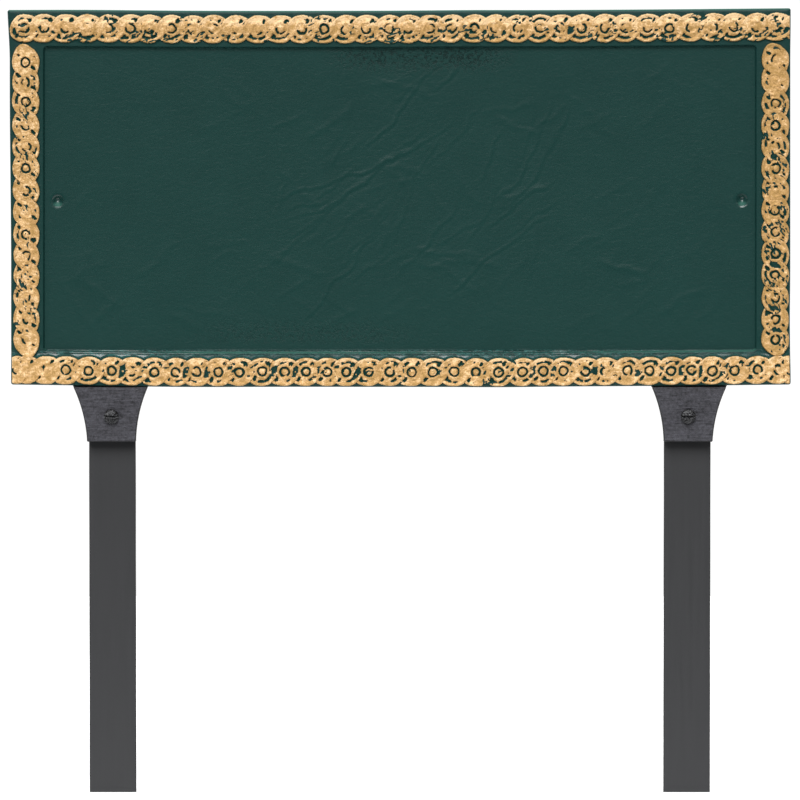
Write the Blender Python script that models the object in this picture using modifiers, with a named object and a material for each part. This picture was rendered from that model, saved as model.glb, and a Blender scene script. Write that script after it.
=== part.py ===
"""Staked address sign: a cast panel with a rope border, carried on two flat-bar stakes.

Metres, +Z up, the front faces -Y. The origin is on the ground, midway between the stakes
and at the middle of their thickness. The stakes are cut off flat at the ground.
"""

import math

import bmesh
import bpy
from mathutils import Matrix, Vector

# Driving dimensions, in metres
FIT_GAP = 0.0003  # clearance between pieces that touch

GROUND_TO_PANEL = 0.2205  # up to the lowest point of the panel's lower edge
STAKE_SPACING = 0.3124  # between the middles of the two bars
STAKE_WIDTH = 0.0254
STAKE_THICKNESS = 0.0048
STAKE_LAP = 0.021  # how far a bar runs up behind the panel

PANEL_WIDTH = 0.4248
PANEL_HEIGHT = 0.204
PANEL_CORNER = 0.0024
RIM_THICKNESS = 0.006
FIELD_DEPTH = 0.0025  # the sunk field below the rim
FIELD_CORNER = 0.0012
FIELD_DRAFT = 0.0013  # how far the field's walls slope in
EDGE_ROUND = 0.0012
SAG = 0.0013  # the casting's middle lies lower than its ends
LEFT_LEAN = 0.0021  # the left edge leans out at the top
RIGHT_RISE = 0.0011  # the top edge rises to the right

ROPE_RADIUS = 0.0079  # one scallop of the rope border
ROPE_HEIGHT = 0.001
ROPE_TOP_MARGIN = 0.0018  # from the panel's edge to the scallops
ROPE_SIDE_MARGIN = 0.0007
ROPE_BOTTOM_MARGIN = 0.0003
ROPE_INNER_STRIP = 0.0019  # from the scallops to the field's wall
ROPE_BOTTOM_STRIP = 0.003
EYE_HEIGHT = 0.0006  # above the rope
TWIST_HEIGHT = 0.0005  # of the strand that crosses over, above the rope

# The rope's carving, in shares of the scallop's radius
ROPE_PITCH = 1.48 * ROPE_RADIUS  # from eye to eye
ROPE_SLOPE = 0.09 * ROPE_RADIUS
EYE_RADIUS = 0.49 * ROPE_RADIUS
EYE_SLOPE = 0.1 * ROPE_RADIUS
TWIST_WIDTH = 0.34 * ROPE_RADIUS
TWIST_REACH = 0.3  # sideways from the crossing to the strand's end, in shares of the pitch
TWIST_TOP = 0.75  # its face, in shares of its foot

DIMPLE_DIAMETER = 0.0046
DIMPLE_DEPTH = 0.0016
DIMPLE_INSET = 0.0264  # from the panel's ends
DIMPLE_DROP = 0.0015  # below the panel's middle

BRACKET_LEAF = 0.003  # the leaf behind the panel
BRACKET_SETBACK = 0.0003  # the visible lug's face behind the rim's face
BRACKET_OFFSET = 0.0006  # outwards from the stake's middle, at the front screw
BRACKET_NECK_WIDTH = 0.0264  # across the lug's lower end
BRACKET_DROP = 0.0298  # below the panel
BRACKET_LAP = 0.026  # above the panel's lower edge
BRACKET_PAD_WIDTH = 0.050
BRACKET_PAD_CORNER = 0.005
FLARE_RADIUS = 0.0787
FLARE_START = 0.0027  # the arc's upright point below the lug's lower end
BRACKET_LEAN = math.radians(1.0)  # outwards at the top
BRACKET_ROUND = 0.0006

SCREW_DIAMETER = 0.0041
SCREW_HEAD_DIAMETER = 0.0082
SCREW_HEAD_HEIGHT = 0.003
SCREW_DROP = 0.0166  # the front screws below the panel
SCREW_END = 0.0012  # past the nut
SLOT_WIDTH = 0.0011
SLOT_DEPTH = 0.0013
NUT_ACROSS_FLATS = 0.0087
NUT_THICKNESS = 0.0032
BACK_HEAD_HEIGHT = 0.0024
BACK_SCREW_RISE = 0.0105  # above the panel's lower edge
BACK_SCREW_BITE = 0.0034  # into the panel's rim

# Levels that follow from them
STAKE_FRONT = -STAKE_THICKNESS / 2
STAKE_BACK = STAKE_THICKNESS / 2
BRACKET_BACK = STAKE_FRONT - FIT_GAP
LEAF_FRONT = BRACKET_BACK - BRACKET_LEAF
PANEL_BACK = LEAF_FRONT - FIT_GAP
RIM_FACE = PANEL_BACK - RIM_THICKNESS
FIELD_FACE = RIM_FACE + FIELD_DEPTH
LUG_FACE = RIM_FACE + BRACKET_SETBACK
ROPE_FACE = RIM_FACE - ROPE_HEIGHT
PANEL_LOW = GROUND_TO_PANEL + SAG
PANEL_MIDDLE = PANEL_LOW + PANEL_HEIGHT / 2
STAKE_TOP = GROUND_TO_PANEL + STAKE_LAP
FRONT_SCREW_Z = GROUND_TO_PANEL - SCREW_DROP
BACK_SCREW_Z = GROUND_TO_PANEL + BACK_SCREW_RISE

# Facets
CORNER_STEPS = 3
SAG_STEPS = 8
SCALLOP_STEPS = 3
ROW_END_STEPS = 8
FLARE_STEPS = 6
EYE_SIDES = 8
ROUND_SIDES = 10

OVERCUT = 0.001  # how far cutters run past the faces that they cut
TO_FRONT = Matrix.Rotation(math.pi / 2, 4, "X")  # turns +Z of a shape to the front, -Y
TO_BACK = Matrix.Rotation(-math.pi / 2, 4, "X")


def painted(name, colour, roughness, metallic=0.0):
    """A Principled material in a linear colour."""
    material = bpy.data.materials.new(name)
    material.use_nodes = True
    shader = material.node_tree.nodes["Principled BSDF"]
    shader.inputs["Base Color"].default_value = (*colour, 1.0)
    shader.inputs["Roughness"].default_value = roughness
    shader.inputs["Metallic"].default_value = metallic
    return material


def place(name, mesh, collection, material=None):
    """An object of this mesh, in a collection."""
    obj = bpy.data.objects.new(name, mesh)
    collection.objects.link(obj)
    if material:
        mesh.materials.clear()
        mesh.materials.append(material)
    return obj


def place_cutter(name, mesh, collection):
    """A cutter: left out of the render and drawn as wire."""
    obj = place(name, mesh, collection)
    obj.hide_render = True
    obj.display_type = "WIRE"
    return obj


def evaluated_mesh(obj):
    """The object's mesh with its modifiers applied."""
    bpy.context.view_layer.update()
    graph = bpy.context.evaluated_depsgraph_get()
    return bpy.data.meshes.new_from_object(obj.evaluated_get(graph))


def mesh_from(name, build):
    """A mesh that the function build makes in a bmesh."""
    mesh = bpy.data.meshes.new(name)
    shape = bmesh.new()
    build(shape)
    bmesh.ops.recalc_face_normals(shape, faces=shape.faces)
    shape.to_mesh(mesh)
    shape.free()
    return mesh


def arc(centre, radius, start, end, steps):
    """Points along an arc in the front view, with both ends, angles in radians."""
    points = []
    for step in range(steps + 1):
        angle = start + (end - start) * step / steps
        points.append((centre[0] + radius * math.cos(angle), centre[1] + radius * math.sin(angle)))
    return points


def rounded_rectangle(left, right, low, high, radius):
    """A rectangle in the front view with round corners, anticlockwise."""
    centres = (
        (right - radius, low + radius, -math.pi / 2),
        (right - radius, high - radius, 0.0),
        (left + radius, high - radius, math.pi / 2),
        (left + radius, low + radius, math.pi),
    )
    points = []
    for x, z, start in centres:
        points += arc((x, z), radius, start, start + math.pi / 2, CORNER_STEPS)
    return points


def slab_mesh(name, outline, front, back):
    """A flat slab: a filled curve in the front view, extruded from front to back."""
    curve = bpy.data.curves.new(name, "CURVE")
    curve.dimensions = "2D"
    curve.fill_mode = "BOTH"
    curve.extrude = (back - front) / 2
    spline = curve.splines.new("POLY")
    spline.points.add(len(outline) - 1)
    for point, (x, z) in zip(spline.points, outline):
        point.co = (x, z, 0.0, 1.0)
    spline.use_cyclic_u = True
    guide = bpy.data.objects.new(name, curve)
    bpy.context.scene.collection.objects.link(guide)
    mesh = evaluated_mesh(guide)
    bpy.data.objects.remove(guide)
    bpy.data.curves.remove(curve)
    mesh.transform(Matrix.Translation((0.0, (front + back) / 2, 0.0)) @ TO_FRONT)
    shape = bmesh.new()
    shape.from_mesh(mesh)
    bmesh.ops.remove_doubles(shape, verts=shape.verts, dist=1e-6)
    inner = [
        edge for edge in shape.edges if all(abs(face.normal.y) > 0.99 for face in edge.link_faces)
    ]
    bmesh.ops.dissolve_edges(shape, edges=inner, use_verts=False)
    bmesh.ops.recalc_face_normals(shape, faces=shape.faces)
    shape.to_mesh(mesh)
    shape.free()
    return mesh


def drafted_mesh(name, deep_outline, deep, face_outline, face):
    """A solid with sloping sides between two like outlines at two depths."""

    def build(shape):
        deep_ring = [shape.verts.new((x, deep, z)) for x, z in deep_outline]
        face_ring = [shape.verts.new((x, face, z)) for x, z in face_outline]
        shape.faces.new(deep_ring)
        shape.faces.new(face_ring)
        count = len(deep_ring)
        for index in range(count):
            after = (index + 1) % count
            corners = (deep_ring[index], deep_ring[after], face_ring[after], face_ring[index])
            shape.faces.new(corners)

    return mesh_from(name, build)


def cone_mesh(name, sides, wide, narrow, height):
    """A frustum along Z from z=0, wide radius first."""

    def build(shape):
        lift = Matrix.Translation((0.0, 0.0, height / 2))
        bmesh.ops.create_cone(
            shape,
            cap_ends=True,
            segments=sides,
            radius1=wide,
            radius2=narrow,
            depth=height,
            matrix=lift,
        )

    return mesh_from(name, build)


def box_mesh(name, low, high):
    """A box between two corners."""

    def build(shape):
        bmesh.ops.create_cube(shape, size=1.0)
        middle = (Vector(low) + Vector(high)) / 2
        bmesh.ops.scale(shape, vec=Vector(high) - Vector(low), verts=shape.verts)
        bmesh.ops.translate(shape, vec=middle, verts=shape.verts)

    return mesh_from(name, build)


def add_boolean(obj, operand, operation="DIFFERENCE"):
    """Cuts or joins another object, or a whole collection of them."""
    boolean = obj.modifiers.new(operation.title(), "BOOLEAN")
    boolean.operation = operation
    boolean.solver = "EXACT"
    if isinstance(operand, bpy.types.Collection):
        boolean.operand_type = "COLLECTION"
        boolean.collection = operand
    else:
        boolean.object = operand


def add_front_bevel(obj, front, width, segments):
    """Rounds the edges round the front face, which lies at this depth."""
    mesh = obj.data
    weights = mesh.attributes.new("bevel_weight_edge", "FLOAT", "EDGE")
    for edge, weight in zip(mesh.edges, weights.data):
        depths = [mesh.vertices[index].co.y for index in edge.vertices]
        weight.value = float(all(abs(depth - front) < FIT_GAP / 2 for depth in depths))
    bevel = obj.modifiers.new("Bevel", "BEVEL")
    bevel.width = width
    bevel.segments = segments
    bevel.limit_method = "WEIGHT"


def drill(obj, name, x, z, diameter, front, back, collection):
    """A round hole along Y between two depths."""
    mesh = cone_mesh(name, ROUND_SIDES, diameter / 2, diameter / 2, back - front)
    cutter = place_cutter(name, mesh, collection)
    cutter.matrix_world = Matrix.Translation((x, back, z)) @ TO_FRONT
    add_boolean(obj, cutter)


# The rope border


def scalloped_outline(count, pitch, radius):
    """A row of overlapping circles along X about the middle, anticlockwise.

    Each circle is free between its notches with the next ones, and the end circles go round."""
    half = math.asin(pitch / 2 / radius)
    centres = [((index - (count - 1) / 2) * pitch, 0.0) for index in range(count)]
    under = -math.pi / 2
    over = math.pi / 2
    arcs = []
    for centre in centres[1:-1]:
        arcs.append(arc(centre, radius, under - half, under + half, SCALLOP_STEPS))
    arcs.append(arc(centres[-1], radius, under - half, over + half, ROW_END_STEPS))
    for centre in reversed(centres[1:-1]):
        arcs.append(arc(centre, radius, over - half, over + half, SCALLOP_STEPS))
    arcs.append(arc(centres[0], radius, over - half, 3 * over + half, ROW_END_STEPS))
    return [point for points in arcs for point in points[1:]]


def rope_row(name, count, pitch, matrix, collection):
    """One row of the border: the scalloped band, its eyes and the strands that cross over."""
    buried = RIM_FACE + FIELD_DEPTH / 2
    wide = scalloped_outline(count, pitch, ROPE_RADIUS)
    narrow = scalloped_outline(count, pitch, ROPE_RADIUS - ROPE_SLOPE)
    band_mesh = drafted_mesh(name + "_band", wide, buried, narrow, ROPE_FACE)
    band = place_cutter(name + "_band", band_mesh, collection)
    band.matrix_world = matrix
    notch = math.sqrt(ROPE_RADIUS**2 - (pitch / 2) ** 2)
    lean = math.atan2(notch, TWIST_REACH * pitch)
    sunk = ROPE_HEIGHT / 2
    eye_height = sunk + EYE_HEIGHT
    eye_mesh = cone_mesh(name + "_eye", EYE_SIDES, EYE_RADIUS, EYE_RADIUS - EYE_SLOPE, eye_height)
    twist_height = sunk + TWIST_HEIGHT
    twist_mesh = cone_mesh(name + "_twist", 4, notch, TWIST_TOP * notch, twist_height)
    twist_mesh.transform(Matrix.Diagonal((1.0, TWIST_WIDTH / 2 / notch, 1.0, 1.0)))
    first = -(count - 1) * pitch / 2
    for index in range(count):
        x = first + index * pitch
        eye = place_cutter(f"{name}_eye_{index}", eye_mesh, collection)
        eye.matrix_world = matrix @ Matrix.Translation((x, ROPE_FACE + sunk, 0.0)) @ TO_FRONT
        if index == count - 1:
            continue
        twist = place_cutter(f"{name}_twist_{index}", twist_mesh, collection)
        middle = Matrix.Translation((x + pitch / 2, ROPE_FACE + sunk, 0.0))
        twist.matrix_world = matrix @ middle @ TO_FRONT @ Matrix.Rotation(lean, 4, "Z")


def build_rope(collection):
    """Rows along the top and bottom edges, and columns between them."""
    half_width = PANEL_WIDTH / 2
    row_run = PANEL_WIDTH - 2 * (ROPE_SIDE_MARGIN + ROPE_RADIUS)
    row_count = round(row_run / ROPE_PITCH) + 1
    row_pitch = row_run / (row_count - 1)
    top = PANEL_LOW + PANEL_HEIGHT - ROPE_TOP_MARGIN - ROPE_RADIUS
    bottom = PANEL_LOW + ROPE_BOTTOM_MARGIN + ROPE_RADIUS
    for name, z in (("top", top), ("bottom", bottom)):
        matrix = Matrix.Translation((0.0, 0.0, z))
        rope_row(name, row_count, row_pitch, matrix, collection)
    column_count = round((top - bottom) / ROPE_PITCH) - 2
    column_pitch = (top - bottom) / (column_count + 2)
    side = half_width - ROPE_SIDE_MARGIN - ROPE_RADIUS
    turn = Matrix.Rotation(math.pi / 2, 4, "Y")
    for name, x in (("left", -side), ("right", side)):
        matrix = Matrix.Translation((x, 0.0, (top + bottom) / 2)) @ turn
        rope_row(name, column_count, column_pitch, matrix, collection)


# The panel


def edge_drop(x):
    """How far the sagging casting lies below a straight one, at this place along it."""
    along = 2 * x / PANEL_WIDTH
    return SAG * (1.0 - along * along)


def out_of_square(x, z):
    """Where a point of the true rectangle lies in the casting."""
    along = 2 * x / PANEL_WIDTH
    up = (z - PANEL_LOW) / PANEL_HEIGHT
    lean = LEFT_LEAN * (0.5 - up) * (1.0 - along) / 2
    rise = RIGHT_RISE * up * along / 2
    return x + lean, z - edge_drop(x) + rise


def in_square(x, z):
    """The point of the true rectangle that lies here in the casting."""
    moved_x, moved_z = out_of_square(x, z)
    return 2 * x - moved_x, 2 * z - moved_z


def bent_mesh(mesh):
    """The true panel brought out of square, with points on its long edges to bend them."""
    step = PANEL_WIDTH / SAG_STEPS
    shape = bmesh.new()
    shape.from_mesh(mesh)
    long_edges = {}
    for edge in shape.edges:
        cuts = round(abs(edge.verts[0].co.x - edge.verts[1].co.x) / step) - 1
        if cuts > 0:
            long_edges.setdefault(cuts, []).append(edge)
    for cuts, edges in long_edges.items():
        bmesh.ops.subdivide_edges(shape, edges=edges, cuts=cuts, use_grid_fill=True)
    for vertex in shape.verts:
        vertex.co.x, vertex.co.z = out_of_square(vertex.co.x, vertex.co.z)
    shape.to_mesh(mesh)
    shape.free()
    return mesh


def build_panel(parts, cutters, material):
    half_width = PANEL_WIDTH / 2
    low = PANEL_LOW
    high = PANEL_LOW + PANEL_HEIGHT
    outline = rounded_rectangle(-half_width, half_width, low, high, PANEL_CORNER)
    blank_mesh = slab_mesh("panel_blank", outline, RIM_FACE, PANEL_BACK)
    blank = place_cutter("panel_blank", blank_mesh, cutters)
    add_front_bevel(blank, RIM_FACE, EDGE_ROUND, 2)

    band = 2 * ROPE_RADIUS + ROPE_INNER_STRIP
    side = half_width - ROPE_SIDE_MARGIN - band
    field_low = low + ROPE_BOTTOM_MARGIN + 2 * ROPE_RADIUS + ROPE_BOTTOM_STRIP
    field_high = high - ROPE_TOP_MARGIN - band
    sections = []
    for inset in (FIELD_DRAFT, -FIELD_DRAFT * OVERCUT / FIELD_DEPTH):
        corner = FIELD_CORNER + FIELD_DRAFT - inset
        right = side - inset
        sections.append(
            rounded_rectangle(-right, right, field_low + inset, field_high - inset, corner)
        )
    field_mesh = drafted_mesh("field", sections[0], FIELD_FACE, sections[1], RIM_FACE - OVERCUT)
    add_boolean(blank, place_cutter("field", field_mesh, cutters))

    rope = bpy.data.collections.new("rope_border")
    cutters.children.link(rope)
    build_rope(rope)
    add_boolean(blank, rope, "UNION")

    across = half_width - DIMPLE_INSET
    for label, x in (("left", -across), ("right", across)):
        wide = DIMPLE_DIAMETER / 2 * (1.0 + OVERCUT / DIMPLE_DEPTH)
        name = "dimple_" + label
        dimple_mesh = cone_mesh(name, ROUND_SIDES, 0.0, wide, DIMPLE_DEPTH + OVERCUT)
        dimple = place_cutter(name, dimple_mesh, cutters)
        place_at = (x, FIELD_FACE + DIMPLE_DEPTH, PANEL_MIDDLE - DIMPLE_DROP)
        dimple.matrix_world = Matrix.Translation(place_at) @ TO_FRONT
        add_boolean(blank, dimple)

    hole = SCREW_DIAMETER + 2 * FIT_GAP
    deep = PANEL_BACK - BACK_SCREW_BITE - FIT_GAP
    back = PANEL_BACK + OVERCUT
    for label, side in (("left", -1), ("right", 1)):
        x, z = in_square(side * STAKE_SPACING / 2, BACK_SCREW_Z)
        drill(blank, "panel_hole_" + label, x, z, hole, deep, back, cutters)
    place("panel", bent_mesh(evaluated_mesh(blank)), parts, material)


# Brackets and stakes


def bracket_outline():
    """The left bracket in the front view, about its middle: a flared lug and the pad above it."""
    low = GROUND_TO_PANEL - BRACKET_DROP
    high = GROUND_TO_PANEL + BRACKET_LAP
    upright = low - FLARE_START

    def flare(z):
        return FLARE_RADIUS - math.sqrt(FLARE_RADIUS**2 - (z - upright) ** 2)

    neck = BRACKET_NECK_WIDTH / 2 - flare(low)
    spread = BRACKET_PAD_WIDTH / 2 - neck
    flare_end = upright + math.sqrt(2 * FLARE_RADIUS * spread - spread**2)
    half = []
    for step in range(FLARE_STEPS + 1):
        z = low + (flare_end - low) * step / FLARE_STEPS
        half.append((neck + flare(z), z))
    corner = BRACKET_PAD_CORNER
    centre = (BRACKET_PAD_WIDTH / 2 - corner, high - corner)
    half += arc(centre, corner, 0.0, math.pi / 2, CORNER_STEPS)
    mirrored = [(-x, z) for x, z in reversed(half)]
    lean = math.tan(BRACKET_LEAN)
    return [(x - BRACKET_OFFSET - lean * (z - FRONT_SCREW_Z), z) for x, z in half + mirrored]


def build_bracket(name, side, parts, cutters, material):
    """side is -1 on the left and 1 on the right, which is the left one mirrored."""
    middle = side * STAKE_SPACING / 2
    outline = bracket_outline()
    if side > 0:
        outline = [(-x, z) for x, z in reversed(outline)]
    outline = [(x + middle, z) for x, z in outline]
    bracket = place(name, slab_mesh(name, outline, LUG_FACE, BRACKET_BACK), parts, material)
    add_front_bevel(bracket, LUG_FACE, BRACKET_ROUND, 1)
    shelf = PANEL_LOW - edge_drop(abs(middle) - BRACKET_PAD_WIDTH / 2) - FIT_GAP
    reach = BRACKET_PAD_WIDTH
    low = (middle - reach, LUG_FACE - OVERCUT, shelf)
    high = (middle + reach, LEAF_FRONT, STAKE_TOP + BRACKET_LAP)
    add_boolean(bracket, place_cutter(name + "_step", box_mesh(name + "_step", low, high), cutters))
    hole = SCREW_DIAMETER + 2 * FIT_GAP
    front = LUG_FACE - OVERCUT
    back = BRACKET_BACK + OVERCUT
    for label, z in (("front", FRONT_SCREW_Z), ("back", BACK_SCREW_Z)):
        drill(bracket, f"{name}_{label}_hole", middle, z, hole, front, back, cutters)


def build_stake(name, side, parts, cutters, material):
    middle = side * STAKE_SPACING / 2
    low = (middle - STAKE_WIDTH / 2, STAKE_FRONT, 0.0)
    high = (middle + STAKE_WIDTH / 2, STAKE_BACK, STAKE_TOP)
    stake = place(name, box_mesh(name, low, high), parts, material)
    hole = SCREW_DIAMETER + 2 * FIT_GAP
    for label, z in (("front", FRONT_SCREW_Z), ("back", BACK_SCREW_Z)):
        front = STAKE_FRONT - OVERCUT
        back = STAKE_BACK + OVERCUT
        drill(stake, f"{name}_{label}_hole", middle, z, hole, front, back, cutters)


# Screws and nuts


def turned_mesh(name, profile):
    """A profile of (radius, height), from the top down, turned about Z."""
    mesh = bpy.data.meshes.new(name)
    points = [(radius, 0.0, height) for radius, height in profile]
    edges = [(index, index + 1) for index in range(len(points) - 1)]
    mesh.from_pydata(points, edges, [])
    guide = bpy.data.objects.new(name, mesh)
    bpy.context.scene.collection.objects.link(guide)
    screw = guide.modifiers.new("Screw", "SCREW")
    screw.steps = ROUND_SIDES
    screw.render_steps = ROUND_SIDES
    screw.use_merge_vertices = True
    screw.merge_threshold = 0.00001
    turned = evaluated_mesh(guide)
    bpy.data.objects.remove(guide)
    bpy.data.meshes.remove(mesh)
    return turned


def build_screw(name, matrix, head_height, length, parts, cutters, material):
    """A slotted round-head screw: its head above z=0, its shank of this length below."""
    radius = SCREW_HEAD_DIAMETER / 2
    dome = [(radius * math.sin(a), head_height * (0.25 + 0.75 * math.cos(a)))
            for a in (math.radians(angle) for angle in (0, 35, 65, 90))]
    shank = SCREW_DIAMETER / 2
    profile = dome + [(radius, 0.0), (shank, 0.0), (shank, -length), (0.0, -length)]
    screw = place(name, turned_mesh(name, profile), parts, material)
    screw.matrix_world = matrix
    low = (-radius - OVERCUT, -SLOT_WIDTH / 2, head_height - SLOT_DEPTH)
    high = (radius + OVERCUT, SLOT_WIDTH / 2, head_height + OVERCUT)
    slot = place_cutter(name + "_slot", box_mesh(name + "_slot", low, high), cutters)
    slot.matrix_world = matrix
    add_boolean(screw, slot)
    screw.data.shade_smooth()
    screw.data.set_sharp_from_angle(angle=math.radians(35.0))


def build_nut(name, x, z, parts, cutters, material):
    across_corners = NUT_ACROSS_FLATS / math.cos(math.pi / 6)
    mesh = cone_mesh(name, 6, across_corners / 2, across_corners / 2, NUT_THICKNESS)
    mesh.transform(Matrix.Translation((x, STAKE_BACK + FIT_GAP, z)) @ TO_BACK)
    nut = place(name, mesh, parts, material)
    front = STAKE_BACK
    back = STAKE_BACK + NUT_THICKNESS + OVERCUT
    drill(nut, name + "_hole", x, z, SCREW_DIAMETER + 2 * FIT_GAP, front, back, cutters)


def build_fasteners(label, side, parts, cutters, material):
    x = side * STAKE_SPACING / 2
    nut_back = STAKE_BACK + FIT_GAP + NUT_THICKNESS
    seat = LUG_FACE - FIT_GAP
    matrix = Matrix.Translation((x, seat, FRONT_SCREW_Z)) @ TO_FRONT
    length = nut_back + SCREW_END - seat
    build_screw("front_screw_" + label, matrix, SCREW_HEAD_HEIGHT, length, parts, cutters, material)
    build_nut("nut_" + label, x, FRONT_SCREW_Z, parts, cutters, material)
    seat = STAKE_BACK + FIT_GAP
    matrix = Matrix.Translation((x, seat, BACK_SCREW_Z)) @ TO_BACK
    length = seat - PANEL_BACK + BACK_SCREW_BITE
    build_screw("back_screw_" + label, matrix, BACK_HEAD_HEIGHT, length, parts, cutters, material)


def main():
    for obj in list(bpy.data.objects):
        bpy.data.objects.remove(obj)
    parts = bpy.data.collections.new("staked_address_sign")
    cutters = bpy.data.collections.new("cutters")
    cutters.hide_render = True
    for collection in (parts, cutters):
        bpy.context.scene.collection.children.link(collection)

    build_panel(parts, cutters, painted("green_enamel", (0.020, 0.060, 0.053), 0.35))
    for label, side in (("left", -1), ("right", 1)):
        cast = painted("bracket_paint_" + label, (0.075, 0.076, 0.085), 0.6)
        bar = painted("stake_paint_" + label, (0.061, 0.063, 0.067), 0.5)
        steel = painted("black_steel_" + label, (0.03, 0.032, 0.033), 0.35, 0.6)
        build_bracket("bracket_" + label, side, parts, cutters, cast)
        build_stake("stake_" + label, side, parts, cutters, bar)
        build_fasteners(label, side, parts, cutters, steel)


main()
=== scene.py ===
import math

import bpy
import numpy as np
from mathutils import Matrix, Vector


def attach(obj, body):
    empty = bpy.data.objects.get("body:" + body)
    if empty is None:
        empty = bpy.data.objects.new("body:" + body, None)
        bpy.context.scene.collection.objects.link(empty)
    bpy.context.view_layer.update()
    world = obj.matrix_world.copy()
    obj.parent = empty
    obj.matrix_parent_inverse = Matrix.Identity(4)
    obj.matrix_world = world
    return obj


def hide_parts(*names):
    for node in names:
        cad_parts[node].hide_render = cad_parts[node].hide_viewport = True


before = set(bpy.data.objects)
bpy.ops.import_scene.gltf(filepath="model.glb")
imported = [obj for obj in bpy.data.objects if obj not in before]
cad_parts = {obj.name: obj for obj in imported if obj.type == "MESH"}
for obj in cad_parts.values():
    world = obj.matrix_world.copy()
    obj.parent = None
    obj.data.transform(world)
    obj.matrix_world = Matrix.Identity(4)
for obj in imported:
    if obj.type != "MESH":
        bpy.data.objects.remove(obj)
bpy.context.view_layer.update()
mm = 0.001

# The studio: a white sweep, greyer where the camera stands, over paper that is white behind the
# sign and grey before it. A broad key light high in front lets the casting's upper walls throw a
# soft shadow, and a weak softbox stands at each side. A long lens looks at it square from in front.

studio = bpy.context.scene
studio.view_settings.view_transform = "Standard"
studio.view_settings.look = "None"

LENS_DISTANCE, SENSOR_WIDTH = 6.0, 36.0
PHOTO_WIDTH = 0.4350  # what the photograph's width covers at the sign
PHOTO_MIDDLE_X, PHOTO_MIDDLE_Z, SIGN_FACE = 0.0001, 0.2134, -0.007
camera_data = bpy.data.cameras.new("long_lens")
camera_data.sensor_width = SENSOR_WIDTH
camera_data.lens = SENSOR_WIDTH * LENS_DISTANCE / PHOTO_WIDTH
camera = bpy.data.objects.new("long_lens", camera_data)
camera.location = (PHOTO_MIDDLE_X, SIGN_FACE - LENS_DISTANCE, PHOTO_MIDDLE_Z)
camera.rotation_euler = (math.radians(90.0), 0.0, 0.0)
studio.collection.objects.link(camera)
studio.camera = camera


class Wire:
    """A socket's value; arithmetic on it adds Math nodes."""

    def __init__(self, tree, socket):
        self.tree = tree
        self.socket = socket

    def maths(self, operation, first, second):
        return node(self.tree, "Math", {"operation": operation}, {0: first, 1: second})

    def __add__(self, other):
        return self.maths("ADD", self, other)

    def __sub__(self, other):
        return self.maths("SUBTRACT", self, other)

    def __rsub__(self, other):
        return self.maths("SUBTRACT", other, self)

    def __mul__(self, other):
        return self.maths("MULTIPLY", self, other)

    __radd__ = __add__
    __rmul__ = __mul__


def node(tree, kind, settings, sockets, out=0):
    """Adds a shader node, its settings first, then its sockets; gives one of its outputs, if any."""
    made = tree.nodes.new("ShaderNode" + kind)
    for name, value in settings.items():
        if name == "stops":
            stops = made.color_ramp.elements
            while len(stops) < len(value):
                stops.new(1.0)
            for stop, (place, shade) in zip(stops, value):
                stop.position = place
                stop.color = (*shade, 1.0) if isinstance(shade, tuple) else (shade,) * 3 + (1.0,)
        else:
            setattr(made, name, value)
    for name, value in sockets.items():
        if isinstance(value, Wire):
            tree.links.new(value.socket, made.inputs[name])
        else:
            made.inputs[name].default_value = value
    return Wire(tree, made.outputs[out]) if made.outputs else None


SWEEP_STOPS, SWEEP_STRENGTH = ((0.42, 0.15), (0.82, 1.0)), 1.04  # dim in front, white behind
sweep = bpy.data.worlds.new("white_sweep")
sweep.use_nodes = True
sweep_tree = sweep.node_tree
sweep_tree.nodes.clear()
gaze = node(sweep_tree, "TexCoord", {}, {}, "Generated")
behind = node(sweep_tree, "SeparateXYZ", {}, {0: gaze}, "Y")
white = node(sweep_tree, "ValToRGB", {"stops": SWEEP_STOPS}, {0: behind * 0.5 + 0.5})
backdrop = node(sweep_tree, "Background", {}, {"Color": white, "Strength": SWEEP_STRENGTH})
node(sweep_tree, "OutputWorld", {}, {"Surface": backdrop})
studio.world = sweep

SIGN_MIDDLE = Vector((0.0, 0.0, 0.25))
SOFTBOX_WIDTH, SOFTBOX_HEIGHT, SOFTBOX_POWER = 0.8, 1.2, 3.0
for name, place in (("softbox_left", (-1.9, -1.4, 0.9)), ("softbox_right", (1.9, -1.4, 0.9))):
    softbox_data = bpy.data.lights.new(name, "AREA")
    softbox_data.shape = "RECTANGLE"
    softbox_data.size, softbox_data.size_y = SOFTBOX_WIDTH, SOFTBOX_HEIGHT
    softbox_data.energy = SOFTBOX_POWER
    softbox = bpy.data.objects.new(name, softbox_data)
    softbox.location = place
    softbox.rotation_euler = (SIGN_MIDDLE - Vector(place)).to_track_quat("-Z", "Y").to_euler()
    studio.collection.objects.link(softbox)

KEY_POWER, KEY_SPREAD, KEY_TILT, KEY_SWING = 3.35, 42.0, 54.0, -6.0
key_data = bpy.data.lights.new("key", "SUN")
key_data.energy = KEY_POWER
key_data.angle = math.radians(KEY_SPREAD)
key = bpy.data.objects.new("key", key_data)
key.rotation_euler = (math.radians(KEY_TILT), 0.0, math.radians(KEY_SWING))
studio.collection.objects.link(key)


def finish(name):
    """A new material: its tree and its Principled shader."""
    material = bpy.data.materials.new(name)
    material.use_nodes = True
    return material, material.node_tree, material.node_tree.nodes["Principled BSDF"]


PAPER_HALF, PAPER_JOINT, PAPER_END = 4.0, -0.3, 6.0


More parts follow.
